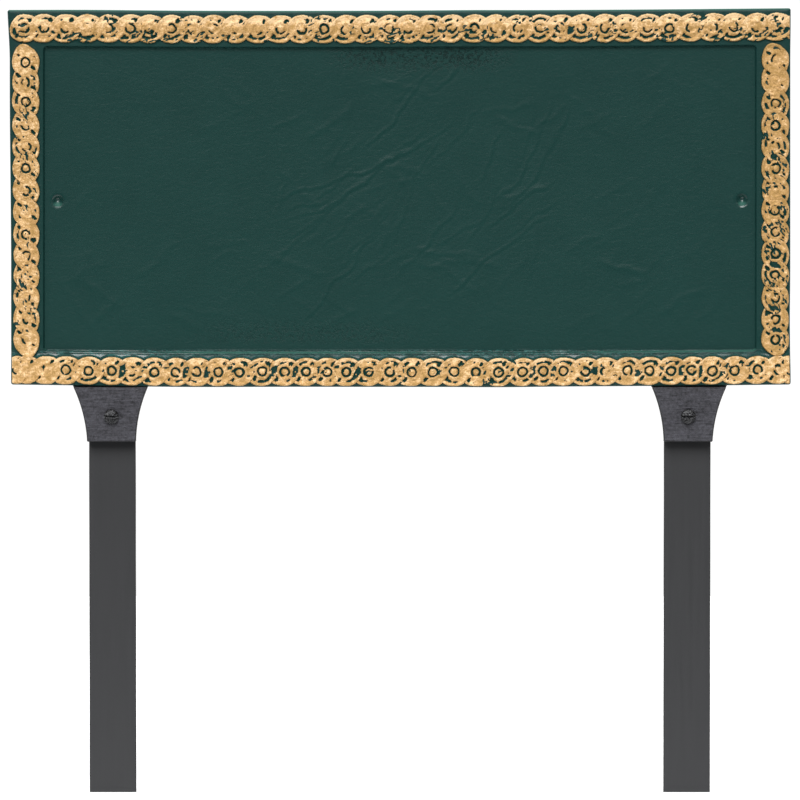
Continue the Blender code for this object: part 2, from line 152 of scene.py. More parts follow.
def paper(name, near, far, shade, glow):
    """A sheet of paper on the ground, from near to far, lit from within by glow."""
    material, _, shader = finish(name)
    shader.inputs["Base Color"].default_value = (shade, shade, shade, 1.0)
    shader.inputs["Roughness"].default_value = 0.9
    shader.inputs["Emission Color"].default_value = (1.0, 1.0, 1.0, 1.0)
    shader.inputs["Emission Strength"].default_value = glow
    mesh = bpy.data.meshes.new(name)
    corners = [(x * PAPER_HALF, y, 0.0) for x, y in ((-1, near), (1, near), (1, far), (-1, far))]
    mesh.from_pydata(corners, [], [(0, 1, 2, 3)])
    mesh.materials.append(material)
    sheet = bpy.data.objects.new(name, mesh)
    studio.collection.objects.link(sheet)


paper("white_paper", PAPER_JOINT, PAPER_END, 0.93, 0.45)
paper("grey_paper", -PAPER_END, PAPER_JOINT, 0.17, 0.0)

# The panel: one aluminium casting 425 mm wide with a raised rim and a sunk field, sprayed with
# satin dark green enamel. Its face is a fine grid, closed by a plain flat back. The casting sags a
# little in the middle and its edges aren't quite straight, so every point is bent that way.

PANEL_WIDTH, PANEL_LOW, PANEL_HIGH = 424.8 * mm, 221.8 * mm, 425.8 * mm
PANEL_BACK, RIM_FACE = -6.0 * mm, -12.0 * mm
SAG, LEFT_LEAN, RIGHT_RISE = 1.3 * mm, 2.1 * mm, 1.1 * mm
OUTER_CORNER, OUTER_ROUND, ROUND_WIDTH = 1.2 * mm, 1.2 * mm, 1.9 * mm
FIELD_HALF, FIELD_LOW, FIELD_HIGH = 194.0 * mm, 239.8 * mm, 406.3 * mm
FIELD_DEPTH, FIELD_WALL, FIELD_CORNER = 2.5 * mm, 1.2 * mm, 2.5 * mm
FIELD_EDGE_DROP = 0.5 * mm  # how far the rim sinks where it meets the field's lower wall
BACK_ROUND, BACK_INSET = 0.7 * mm, 0.5 * mm
DIMPLES = ((-186.0 * mm, 322.3 * mm), (186.0 * mm, 322.3 * mm))
DIMPLE_RADIUS, DIMPLE_DEPTH = 3.6 * mm, 2.7 * mm


def ease(low, high, value):
    """A smooth step from 0 at low to 1 at high."""
    share = np.clip((value - low) / (high - low), 0.0, 1.0)
    return share * share * (3 - 2 * share)


def swell(value, middle, width):
    """A soft hump of height 1 at middle."""
    return np.exp(-(((value - middle) / width) ** 2))


def bend(x, z):
    """A point of the true rectangle, where it lies in the casting.

    The left edge leans out, the right edge is a little hollow, and both long edges sag and are
    faintly wavy, as measured along each edge."""
    along = 2 * x / PANEL_WIDTH
    up = (z - PANEL_LOW) / (PANEL_HIGH - PANEL_LOW)
    left_end, right_end = ease(-198.0 * mm, -211.0 * mm, x), ease(198.0 * mm, 211.0 * mm, x)
    lean = 0.55 - 0.35 * ease(0.3, 0.8, up) - 0.65 * ease(0.86, 1.03, up)
    lean *= LEFT_LEAN * left_end
    hollow = 0.2 * ease(0.97, 0.86, up) + 0.25 * swell(z / mm, 257, 16)
    lean -= hollow * mm * right_end * ease(0.0, 0.1, up)
    sag = SAG * (1 - 0.4 * up) * (1 - along**2) + 0.03 * mm * up
    low_wave = 0.42 * swell(x / mm, -118, 42) + 0.24 * swell(x / mm, 55, 24)
    high_wave = 0.38 * swell(x / mm, -172, 42) + 0.2 * swell(x / mm, 38, 28)
    wave = (high_wave * up**4 - low_wave * (1 - up) ** 4) * mm
    return x + lean, z - sag + wave + RIGHT_RISE * up * along / 2


def lattice(x, y, cell, seed):
    """Smooth noise from -1 to 1 with lumps of this size, the same on each run."""
    cells = 64  # the pattern comes round again after so many
    grid = np.random.default_rng(seed).uniform(-1.0, 1.0, (cells, cells))
    u, v = x / cell + 1000.0, y / cell + 1000.0
    i, j = np.floor(u).astype(int), np.floor(v).astype(int)
    fu, fv = u - i, v - j
    fu, fv = fu * fu * (3 - 2 * fu), fv * fv * (3 - 2 * fv)
    i, j, next_i, next_j = i % cells, j % cells, (i + 1) % cells, (j + 1) % cells
    near = grid[i, j] * (1 - fu) + grid[next_i, j] * fu
    far = grid[i, next_j] * (1 - fu) + grid[next_i, next_j] * fu
    return near * (1 - fv) + far * fv


def inside(x, z, half, low, high, corner):
    """How far a point lies inside a rectangle with round corners, negative outside it."""
    across = np.abs(x) - (half - corner)
    upward = np.abs(z - (low + high) / 2) - ((high - low) / 2 - corner)
    beyond = np.hypot(np.maximum(across, 0.0), np.maximum(upward, 0.0))
    return corner - beyond - np.minimum(np.maximum(across, upward), 0.0)


def spaced(stops):
    """Grid lines: each stop is a place and the spacing of the lines up to the next stop."""
    lines = []
    for (start, gap), (end, _) in zip(stops, stops[1:]):
        count = max(1, round((end - start) / gap))
        lines += [start + (end - start) * step / count for step in range(count)]
    return np.array(lines + [stops[-1][0]])


def new_piece(name, points, faces, material, node_name):
    """A smooth mesh piece in the row frame that rides on the sign and stands for a CAD node."""
    mesh = bpy.data.meshes.new(name)
    mesh.from_pydata(np.asarray(points).tolist(), [], faces)
    mesh.materials.append(material)
    mesh.polygons.foreach_set("use_smooth", [True] * len(mesh.polygons))
    mesh.update()
    piece = bpy.data.objects.new(name, mesh)
    studio.collection.objects.link(piece)
    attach(piece, "root")
    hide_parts(node_name)
    return piece


def grid_faces(columns, rows):
    """Quads of a grid of points that runs along its rows first, facing the front."""
    start = (np.arange(rows - 1)[:, None] * columns + np.arange(columns - 1)[None, :]).ravel()
    return np.stack((start, start + 1, start + columns + 1, start + columns), axis=1)


# The grid is fine where the face turns, is folded or has a drill mark, and coarse elsewhere.
half_width, dimple_x = PANEL_WIDTH / 2, DIMPLES[1][0]
left_half = [
    (-half_width, 0.3 * mm),
    (-half_width + 2.4 * mm, 2.4 * mm),
    (-FIELD_HALF - 0.4 * mm, 0.2 * mm),
    (-FIELD_HALF + FIELD_CORNER, 1.0 * mm),
    (-dimple_x - 3.5 * mm, 0.5 * mm),
    (-dimple_x + 3.5 * mm, 1.6 * mm),
    (-70.0 * mm, 0.9 * mm),
]
right_half = [
    (93.0 * mm, 1.6 * mm),
    (dimple_x - 3.5 * mm, 0.5 * mm),
    (dimple_x + 3.5 * mm, 1.0 * mm),
    (FIELD_HALF - FIELD_CORNER, 0.2 * mm),
    (FIELD_HALF + 0.4 * mm, 2.4 * mm),
    (half_width - 2.4 * mm, 0.3 * mm),
    (half_width, 0.0),
]
x_lines = spaced(left_half + right_half)
z_lines = spaced(
    [
        (PANEL_LOW, 0.3 * mm),
        (PANEL_LOW + 2.4 * mm, 2.4 * mm),
        (236.0 * mm, 0.6 * mm),
        (FIELD_LOW - 0.4 * mm, 0.2 * mm),
        (FIELD_LOW + FIELD_CORNER, 1.9 * mm),
        (258.0 * mm, 0.9 * mm),
        (396.0 * mm, 1.9 * mm),
        (FIELD_HIGH - FIELD_CORNER, 0.2 * mm),
        (FIELD_HIGH + 0.4 * mm, 2.4 * mm),
        (PANEL_HIGH - 2.4 * mm, 0.3 * mm),
        (PANEL_HIGH, 0.0),
    ]
)
x, z = np.meshgrid(x_lines, z_lines)
middle_z, half_z = (PANEL_LOW + PANEL_HIGH) / 2, (PANEL_HIGH - PANEL_LOW) / 2
edge_x = np.clip((np.abs(x) - (half_width - OUTER_CORNER)) / OUTER_CORNER, 0.0, 1.0)
edge_z = np.clip((np.abs(z - middle_z) - (half_z - OUTER_CORNER)) / OUTER_CORNER, 0.0, 1.0)
x -= np.sign(x) * edge_x * (1 - np.sqrt(1 - edge_z**2 / 2)) * OUTER_CORNER
z -= np.sign(z - middle_z) * edge_z * (1 - np.sqrt(1 - edge_x**2 / 2)) * OUTER_CORNER


def face_depth(x, z):
    """Where the casting's face lies, for points of the true rectangle.

    Its edge is rounded, the field is sunk behind a steep wall and is faintly wavy, and each
    drill mark is a cone with a round tip."""
    from_edge = np.maximum(inside(x, z, PANEL_WIDTH / 2, PANEL_LOW, PANEL_HIGH, OUTER_CORNER), 0.0)
    turn = 1 - np.minimum(from_edge / ROUND_WIDTH, 1.0)
    into_field = inside(x, z, FIELD_HALF, FIELD_LOW, FIELD_HIGH, FIELD_CORNER)
    depth = RIM_FACE + OUTER_ROUND * (1 - np.sqrt(1 - turn**2))
    lowered = FIELD_EDGE_DROP * ease(235.8 * mm, FIELD_LOW, z) * ease(250 * mm, 243 * mm, z)
    depth = depth + lowered + (FIELD_DEPTH - lowered) * ease(0.0, FIELD_WALL, into_field)
    for dimple_x, dimple_z in DIMPLES:
        off = np.minimum(np.hypot(x - dimple_x, z - dimple_z) / DIMPLE_RADIUS, 1.0)
        depth += DIMPLE_DEPTH * np.minimum(1.25 * (1 - off), 1.0 - 0.9 * off**2)
    waves = lattice(x, z, 31 * mm, 11) + 0.5 * lattice(x + 0.4 * z, z, 13 * mm, 12)
    return depth + 0.06 * mm * waves * ease(4 * mm, 16 * mm, into_field)


# Folds in the skin of the field, left by the pattern: from x, z to x, z, half width, height, in mm.
FOLDS = (
    (-63, 326, -20, 339, 0.8, 0.09), (-22, 338, 6, 350, 0.8, 0.11), (5, 350, 25, 363, 0.7, 0.07),
    (-60, 318, -41, 322, 0.7, 0.07), (-42, 317, -20, 333, 0.8, 0.11), (-21, 333, -2, 347, 0.8, 0.1),
    (-17, 351, -3, 366, 0.8, 0.11), (-4, 365, 6, 380, 0.8, 0.1), (6, 379, 13, 390, 0.7, 0.08),
    (-37, 341, -30, 354, 0.6, 0.06), (43, 335, 49, 346, 0.7, 0.09), (48, 346, 54, 360, 0.7, 0.11),
    (56, 325, 68, 340, 0.8, 0.1), (67, 339, 75, 356, 0.7, 0.09), (74, 355, 81, 375, 0.7, 0.07),
    (59, 320, 73, 334, 0.7, 0.09), (72, 333, 84, 353, 0.7, 0.08), (83, 352, 90, 367, 0.6, 0.06),
    (48, 309, 65, 323, 0.7, 0.09), (64, 322, 80, 332, 0.7, 0.07), (-52, 258, -36, 277, 0.8, 0.08),
    (-36, 276, -19, 299, 0.8, 0.08), (-20, 298, -12, 308, 0.7, 0.06), (2, 286, 14, 299, 0.8, 0.08),
    (13, 298, 27, 315, 0.7, 0.07), (26, 314, 33, 327, 0.6, 0.05), (29, 274, 46, 290, 0.8, 0.1),
    (45, 290, 60, 300, 0.7, 0.09), (59, 299, 77, 313, 0.7, 0.06), (21, 385, 33, 397, 0.8, 0.1),
    (-58, 303, -28, 325, 0.6, 0.07), (-50, 305, -24, 330, 0.6, 0.06), (-42, 298, -17, 322, 0.6, 0.07),
    (-31, 290, -6, 317, 0.6, 0.06), (-35, 303, -10, 326, 0.6, 0.05), (-63, 346, -66, 318, 0.7, 0.07),
    (16, 341, 45, 374, 0.7, 0.05), (8, 333, 19, 353, 0.6, 0.06), (71, 276, 75, 309, 0.7, 0.04),
    (78, 345, 92, 372, 0.6, 0.06), (-10, 372, 20, 395, 0.7, 0.04), (36, 300, 56, 330, 0.6, 0.05),
    (-62, 312, -40, 318, 0.6, 0.06), (-46, 324, -24, 341, 0.6, 0.06), (-12, 341, 12, 360, 0.6, 0.06),
    (-26, 280, -4, 296, 0.7, 0.05), (-4, 300, 8, 330, 0.6, 0.05), (60, 305, 84, 322, 0.6, 0.06),
    (66, 345, 72, 372, 0.6, 0.06), (-68, 290, -44, 312, 0.7, 0.05), (20, 300, 44, 312, 0.7, 0.05),
)
FOLD_HEIGHT, FAINT_FOLDS, FAINT_SEED = 1.6, 90, 5
fold = np.zeros_like(x)
wander_x = x / mm + 1.8 * lattice(x / mm, z / mm, 9.0, 15) + 0.7 * lattice(x / mm, z / mm, 3.5, 16)
wander_z = z / mm + 1.8 * lattice(x / mm, z / mm, 9.0, 17) + 0.7 * lattice(x / mm, z / mm, 3.5, 18)
faint = np.random.default_rng(FAINT_SEED)
faint_folds = []
for number in range(FAINT_FOLDS):  # three in five rise to the right, as most of the clear ones do
    at_x, at_z = faint.uniform(-176, 176), faint.uniform(256, 392)
    slope = math.radians(faint.normal(36, 16) if number % 5 < 3 else faint.normal(-42, 18))
    run_x, run_z = faint.uniform(6, 17) * math.cos(slope), faint.uniform(6, 17) * math.sin(slope)
    both_ends = (at_x - run_x, at_z - run_z, at_x + run_x, at_z + run_z)
    faint_folds.append((*both_ends, faint.uniform(1.0, 1.6), faint.uniform(0.03, 0.08)))
for from_x, from_z, to_x, to_z, width, high in (*FOLDS, *faint_folds):
    length = math.hypot(to_x - from_x, to_z - from_z)
    along_x, along_z = (to_x - from_x) / length, (to_z - from_z) / length
    along = (wander_x - from_x) * along_x + (wander_z - from_z) * along_z
    across = (wander_z - from_z) * along_x - (wander_x - from_x) * along_z
    reach = ease(-4.0, 3.0, along) * ease(length + 4.0, length - 3.0, along)
    beside = 0.6 * swell(across, -1.5, 0.9) * (width < 0.9)  # a hollow, beside the clear folds only
    fold += high * reach * (swell(across, 0.0, width) - beside)
fold *= ease(192 * mm, 180 * mm, np.abs(x)) * ease(243 * mm, 256 * mm, z) * ease(404 * mm, 392 * mm, z)
y = face_depth(x, z) - FOLD_HEIGHT * fold * mm
x, z = bend(x, z)

# The face's outline is carried back in two rings, the second a little smaller, and closed flat.
columns, rows = len(x_lines), len(z_lines)
front = np.stack((x, y, z), axis=2).reshape(-1, 3)
faces = grid_faces(columns, rows).tolist()
loop = list(range(columns))
loop += [row * columns + columns - 1 for row in range(1, rows)]
loop += [(rows - 1) * columns + column for column in range(columns - 2, -1, -1)]
loop += [row * columns for row in range(rows - 2, 0, -1)]
points, count, previous = [front], len(front), loop
for depth, inset in ((PANEL_BACK - BACK_ROUND, 0.0), (PANEL_BACK, BACK_INSET)):
    ring = front[loop]
    ring[:, 1] = depth
    ring[:, 0] -= np.sign(ring[:, 0]) * inset
    ring[:, 2] -= np.sign(ring[:, 2] - middle_z) * inset
    points.append(ring)
    current = list(range(count, count + len(loop)))
    for index in range(len(loop)):
        after = (index + 1) % len(loop)
        faces.append((previous[after], previous[index], current[index], current[after]))
    count, previous = count + len(loop), current
faces.append(previous[::-1])
panel_points = np.concatenate(points)

enamel, enamel_tree, enamel_shader = finish("green_enamel")


def place_wire(tree, stretch=(1.0, 1.0, 1.0), turn=0.0):
    """Where a point lies in the row frame, in metres, with each direction stretched."""
    place = node(tree, "TexCoord", {}, {}, "Object")
    values = {"Vector": place, "Rotation": (0.0, turn, 0.0), "Scale": stretch}
    return node(tree, "Mapping", {}, values)


def noise(tree, place, scale, detail=2.0, roughness=0.5, distortion=0.0):
    values = {"Vector": place, "Scale": scale, "Detail": detail}
    values.update({"Roughness": roughness, "Distortion": distortion})
    return node(tree, "TexNoise", {}, values)


def carried(tree, name):
    """A value that the mesh carries at each point."""
    return node(tree, "Attribute", {"attribute_name": name}, {}, "Fac")


def turned_to(tree, axis):
    """How far the surface turns to an axis, from -1 to 1."""
    return node(tree, "SeparateXYZ", {}, {0: node(tree, "NewGeometry", {}, {}, "Normal")}, axis)


def ramp(tree, value, *stops):
    return node(tree, "ValToRGB", {"stops": stops}, {0: value})


def mixed(tree, share, first, second):
    """Two colours mixed, first where share is 0; sockets 6, 7 and output 2 are the colour ones."""
    first, second = ((*shade, 1.0) if isinstance(shade, tuple) else shade for shade in (first, second))
    return node(tree, "Mix", {"data_type": "RGBA"}, {0: share, 6: first, 7: second}, 2)


def plug(tree, wire, shader, name):
    tree.links.new(wire.socket, shader.inputs[name])


def bumped(tree, height, distance):
    return node(tree, "Bump", {}, {"Height": height, "Distance": distance, "Strength": 1.0}, "Normal")


ENAMEL_DARK, ENAMEL_LIGHT = (0.0066, 0.033, 0.029), (0.01, 0.0438, 0.0385)
ENAMEL_PIT, ENAMEL_RIDGE_HIGHLIGHT, ENAMEL_TOP_LIGHT = (0.001, 0.008, 0.007), (0.04, 0.15, 0.14), (0.06, 0.19, 0.148)


def green_coat(tree):
    """The enamel's colour, and its height: fine level streaks and specks in the sprayed paint."""
    straight = place_wire(tree)
    cloudy = noise(tree, straight, 60.0, 3.0)
    grain = noise(tree, straight, 900.0, 2.0, 0.6)
    colour = mixed(tree, cloudy * 0.6 + grain * 0.4, ENAMEL_DARK, ENAMEL_LIGHT)
    ripples = noise(tree, place_wire(tree, (0.5, 1.0, 1.0)), 330.0, 4.0, 0.65, 1.2)
    height = ripples * 0.75 + grain * 0.25
    return colour, height


def level_runs(tree):
    """Runs of thick paint that lie level, along the lower wall and the rope's fillet."""
    return noise(tree, place_wire(tree, (0.3, 1.0, 1.0)), 620.0, 2.5, 0.55, 0.8)


coat_colour, coat_height = green_coat(enamel_tree)
swirl_place = place_wire(enamel_tree, (1.0, 1.0, 1.8), math.radians(30.0))
swirl = noise(enamel_tree, swirl_place, 210.0, 3.0, 0.6, 0.8) * carried(enamel_tree, "creased")
pit_noise = noise(enamel_tree, place_wire(enamel_tree), 700.0, 3.0, 0.7)
pits = (1 - ramp(enamel_tree, pit_noise, (0.4, 0.0), (0.52, 1.0))) * carried(enamel_tree, "pitted")
streaky = carried(enamel_tree, "streaky")
drips = level_runs(enamel_tree)
surface = coat_height * 0.4 + drips * streaky * 3.4 + swirl * 0.35 + (1 - pits) * 0.35
# Faces that turn up are painted a lighter green: painted light from above, weaker on the runs along the
# lower wall.
lit_from_above = ramp(enamel_tree, turned_to(enamel_tree, "Z"), (0.25, 0.0), (0.95, 1.0)) * (1 - streaky * 0.9)
# Thin lines along the crests of the level paint runs are painted lighter: painted highlights where the
# runs catch the key light.
ridge_highlights = ramp(enamel_tree, drips, (0.46, 0.0), (0.5, 1.0), (0.54, 0.0)) * streaky
coat_colour = mixed(enamel_tree, pits * 0.7, coat_colour, ENAMEL_PIT)
coat_colour = mixed(enamel_tree, ridge_highlights, coat_colour, ENAMEL_RIDGE_HIGHLIGHT)
coat_colour = mixed(enamel_tree, lit_from_above, coat_colour, ENAMEL_TOP_LIGHT)
plug(enamel_tree, carried(enamel_tree, "glossy"), enamel_shader, "Coat Weight")
enamel_shader.inputs["Coat Roughness"].default_value = 0.1
plug(enamel_tree, coat_colour, enamel_shader, "Base Color")
plug(enamel_tree, bumped(enamel_tree, surface, 0.4 * mm), enamel_shader, "Normal")
plug(enamel_tree, coat_height * 0.12 + 0.3, enamel_shader, "Roughness")
enamel_shader.inputs["Specular IOR Level"].default_value = 0.12

panel = new_piece("panel_casting", panel_points, faces, enamel, "panel")
front_count = (columns - 1) * (rows - 1)  # only the face is smooth; the edges and the back are flat
panel.data.polygons.foreach_set("use_smooth", [number < front_count for number in range(len(faces))])


def set_attribute(piece, name, values):
    """A value at each point of a mesh, read by its material."""
    layer = piece.data.attributes.new(name, "FLOAT", "POINT")
    layer.data.foreach_set("value", np.asarray(values, dtype=np.float32))


# Where the enamel is creased, pitted, streaked with runs of paint along its lower wall, and
# glossy: on those runs, and in the lower half of each drill mark.
px, pz = panel_points[:, 0] / mm, panel_points[:, 2] / mm
field_middle = ease(190, 165, np.abs(px)) * ease(262, 285, pz) * ease(402, 388, pz)
set_attribute(panel, "creased", field_middle * (0.55 + 0.45 * lattice(px, pz, 42, 21)))
top_patch = ease(60, 25, np.abs(px - 12)) * ease(388, 400, pz) * ease(407, 404, pz)
foot_specks = ease(75, 30, np.abs(px + 50)) * ease(262, 250, pz) * ease(243, 246, pz) * 0.4
set_attribute(panel, "pitted", top_patch + foot_specks)
low_strip = ease(241.0, 240.4, pz) * ease(230, 237, pz)
low_strip *= 0.45 + 0.55 * np.maximum(ease(-105, -140, px), swell(px, 60, 60))
set_attribute(panel, "streaky", low_strip)
runs = ease(0.1, 0.5, lattice(0.15 * px, pz, 1.3, 22) + 0.6 * lattice(px, pz, 30.0, 23))
gloss = low_strip * (0.25 + 0.75 * runs)
for dimple_x, dimple_z in DIMPLES:
    from_wet = np.hypot(px - dimple_x / mm, pz + 0.9 - dimple_z / mm)
    gloss = np.maximum(gloss, ease(DIMPLE_RADIUS / mm, 2.8, from_wet))
set_attribute(panel, "glossy", gloss)

# The rope border: low relief cast in one with the rim. Two strands twist round a row of eyes, each
# a dot in a ring. Gold paint was dragged over it with a dry brush: it lies on what stands up,
# fills some rings and channels, and leaves the deep places and the sides of the rope green.

ROPE_RADIUS, FILLET = 7.9, 1.5
DOT, GROOVE, RING = 1.82, 2.85, 4.3  # radii in an eye: its dot, the groove round it, its ring
CHANNEL, LINE, BEAD = 5.35, 6.6, 7.1  # radii in a strand, from the eye outwards
STRAND_TOP, RING_TOP, ROPE_FLOOR = 1.2, 1.38, 0.18


def rope_relief(s, t, eyes, seed, smeared, rub, ends, cove):
    """Height over the rim in mm, how bare of gold each point is, and how much painted shade darkens it.

    s runs along the row from its middle, t across it, both in mm. smeared says how much paint
    was dragged over a place, from below 0 for none to 1 for a place that is nearly filled, rub
    how much was wiped off between the eyes, ends how far the two end discs are drawn out, and
    cove how high the fillet round the rope stands."""
    jitter = np.random.default_rng(seed)
    count = len(eyes)
    smear = smeared(s, t)
    wobble = ease(ROPE_RADIUS + 0.2, ROPE_RADIUS - 1.5, np.abs(t)) * lattice(s, t, 4.3, seed + 6)
    s, t = s + 0.3 * lattice(s, t, 4.3, seed + 5), t + 0.3 * wobble
    index = np.searchsorted(eyes, s) - 1
    left, right = np.maximum(index, 0), np.minimum(index + 1, count - 1)
    between = left != right
    small = 1 - 0.02 * jitter.random(count)
    twisted = s - 0.24 * t * (1 - np.minimum(np.abs(t) / ROPE_RADIUS, 1.0) ** 2)

    def from_eye(which):
        dx = twisted - eyes[which]
        outward = ((which == 0) & (dx < 0)) | ((which == count - 1) & (dx > 0))
        broad = 1 - 0.16 * ease(4.5, 7.5, np.hypot(dx, t))
        return np.hypot(dx * np.where(outward, 1 / ends, broad), t) / small[which], dx

    left_r, left_dx = from_eye(left)
    right_r, right_dx = from_eye(right)
    channelled = 0.24 + 1.1 * lattice(s, t, 3.4, seed + 7) + 0.5 * lattice(s, t, 1.3, seed + 10)
    channelled = np.clip(channelled - 0.8 * smear, 0.0, 1.2)

    def strand(r):
        shoulder = np.clip((ROPE_RADIUS - r) / 0.7, 0.0, 1.0)
        edge = np.sqrt(np.maximum(1 - (1 - shoulder) ** 2, 0.0))
        bead = 0.34 * swell(r, BEAD, 0.55)
        channel = (0.08 + channelled * 0.7) * np.exp(-(((r - CHANNEL) / 0.8) ** 4))
        line = 0.2 * (0.6 + 0.6 * lattice(s, t, 3.0, seed + 3)) * swell(r, LINE, 0.22)
        return edge * (STRAND_TOP + bead - channel - line)

    def beneath(r):
        return 0.84 * ease(ROPE_RADIUS, ROPE_RADIUS - 0.6, r)

    # Each strand passes over its neighbour on one side of the row and under it on the other.
    lift = ease(-1.2, 1.2, t)
    lower = np.maximum(strand(left_r), beneath(right_r))
    lower = np.where(left_r < ROPE_RADIUS, lower, strand(right_r))
    upper = np.maximum(strand(right_r), beneath(left_r))
    upper = np.where(right_r < ROPE_RADIUS, upper, strand(left_r))
    height = lower * (1 - lift) + upper * lift
    crossing = np.hypot(left_dx - (eyes[right] - eyes[left]) / 2, t)
    height += np.where(between, 0.25 * swell(crossing, 0.0, 3.0), 0.0)
    over_edge = np.where(t < 0, left_r, right_r) - ROPE_RADIUS
    under = np.where(t < 0, right_dx < 0, left_dx > 0) & (over_edge > 0) & between
    height -= np.where(under, 0.3 * swell(over_edge, 0.0, 0.5), 0.0)

    # The eyes, each a little out of round, with paint in part of the groove.
    eye = np.where(s - eyes[left] > eyes[right] - s, right, left)
    dx = s - eyes[eye]
    dt = t - jitter.uniform(-0.3, 0.3, count)[eye]
    angle = np.arctan2(dt, dx)
    phase = jitter.uniform(0, 2 * math.pi, (3, count))
    r = np.hypot(dx, dt) * (1 + 0.03 * np.cos(3 * angle + phase[2, eye]))
    r = r + 0.16 * lattice(s, t, 1.4, seed + 11)
    dot = DOT * jitter.uniform(0.88, 1.08, count)[eye]
    filled = np.cos(angle - phase[0, eye]) + 0.6 * np.cos(2 * angle - phase[1, eye])
    filled += jitter.normal(-0.1, 0.9, count)[eye] + 2.2 * smear + 0.9 * lattice(s, t, 1.6, seed + 12)
    filled = ease(-0.2, 0.35, filled - 0.8 * rub)
    dome = 0.8 + 0.7 * np.sqrt(np.maximum(1 - (r / dot) ** 2, 0.0))
    groove = 0.3 + 0.74 * filled
    inner = np.where(r < dot, np.maximum(dome, groove), groove)
    ring = RING_TOP - 0.2 * ((r - (GROOVE + RING) / 2) / 0.75) ** 2
    eye_height = inner + (ring - inner) * ease(GROOVE - 0.2, GROOVE + 0.2, r)
    height = height + (eye_height - height) * ease(RING + 0.25, RING - 0.15, r)

    # Two slanting pits beside each eye, where three discs meet.
    for along, across in ((3.1, 4.3), (-3.7, -4.1)):
        size = jitter.uniform(0.65, 1.4, count)[eye]
        u = (dx - along) * 0.545 + (dt - across) * 0.839
        v = -(dx - along) * 0.839 + (dt - across) * 0.545
        pit = 1 - (u / (1.4 * size)) ** 2 - (v / (0.8 * size)) ** 2
        height -= 0.75 * ease(0.0, 0.6, pit + 0.5 * lattice(s, t, 0.9, seed + 16))

    # The casting's grain, specks that the brush missed, and places where the gold was wiped off.
    height += 0.1 * (lattice(s, t, 2.1, seed + 1) * 0.5 + lattice(s, t, 0.8, seed + 2) * 0.6)
    specks = ease(0.25, 0.5, lattice(0.6 * s, t - 0.3 * s, 0.8, seed + 8))
    specks *= ease(0.0, 0.5, lattice(s, t, 5.0, seed + 9) - 0.7 * smear - 0.5 * (cove > 0.3))
    rubbed = lattice(s, t, 6.0, seed + 13) + 0.7 * lattice(0.6 * s, t, 1.1, seed + 14) - smear
    rubbed = ease(0.75 - rub, 1.0 - rub, rubbed) * ease(4.0, 2.2, np.abs(t))
    height -= 0.22 * specks + 0.5 * rubbed * ease(3.2, 4.4, np.abs(dx))
    bare = ease(0.9, 0.74, height + 0.14 * lattice(s, t, 0.9, seed + 4))
    bare = np.maximum(bare, specks * ease(1.7, 1.4, height))

    # Outside the rope its sides run out into the rim in a fillet of paint.
    outside = np.minimum(left_r, right_r) - ROPE_RADIUS
    waves = 1 + 0.9 * lattice(0.2 * s, t, 0.7, seed + 15)
    rise = cove * waves * (1 - np.clip(outside / FILLET, 0.0, 1.0)) ** 2.0 - 0.02
    rise = rise - 0.3 * ease(FILLET - 0.3, FILLET + 0.2, outside)
    height = np.where(outside < 0, np.maximum(height, ROPE_FLOOR), rise)
    # The shade is painted shade: a darker green in the rope's low places and in a band just outside its
    # edge.
    shade = ease(0.8, 0.4, height) * (outside < 0) + ease(0.4, 0.0, outside) * (outside >= 0)
    return height, np.where(outside < -0.1, bare, 1.0), shade


GOLD_WORN, GOLD, GOLD_THICK_AND_LIT = (0.42, 0.25, 0.085), (0.59, 0.36, 0.15), (0.88, 0.62, 0.345)
HOLLOW_SHADE_GREEN, FILLET_TOP_LIGHT = (0.0008, 0.027, 0.0195), (0.008, 0.06, 0.05)
FILLET_RIDGE_HIGHLIGHT = (0.03, 0.13, 0.12)
gilded, gilded_tree, gilded_shader = finish("gold_over_green")
spot = place_wire(gilded_tree)
fine = noise(gilded_tree, spot, 1400.0, 2.0, 0.6)
patchy = noise(gilded_tree, spot, 330.0, 3.0, 0.6)
brushed = noise(gilded_tree, place_wire(gilded_tree, (0.35, 1.0, 1.0)), 1100.0, 2.0, 0.5)
ragged = carried(gilded_tree, "bare") + (fine - 0.5) * 0.7
green_share = ramp(gilded_tree, ragged, (0.45, 0.0), (0.54, 1.0))
# paleness adds "thick": thick paint, and painted light on the upper side of each row.
paleness = patchy * 0.6 + brushed * 0.3 + fine * 0.35 + carried(gilded_tree, "thick") - 0.125
gold_tone = ramp(gilded_tree, paleness, (0.36, GOLD_WORN), (0.5, GOLD), (0.62, GOLD_THICK_AND_LIT))
# hollow carries the painted shade from the rope's relief: darker green in its low places and round its
# edge.
hollow = carried(gilded_tree, "hollow")
open_share = 1 - hollow
# Where the rope's fillet and bare sides turn up, outside the painted shade, the green is painted
# lighter: painted light from above.
lit_from_above = ramp(gilded_tree, turned_to(gilded_tree, "Z"), (0.2, 0.0), (0.8, 1.0))
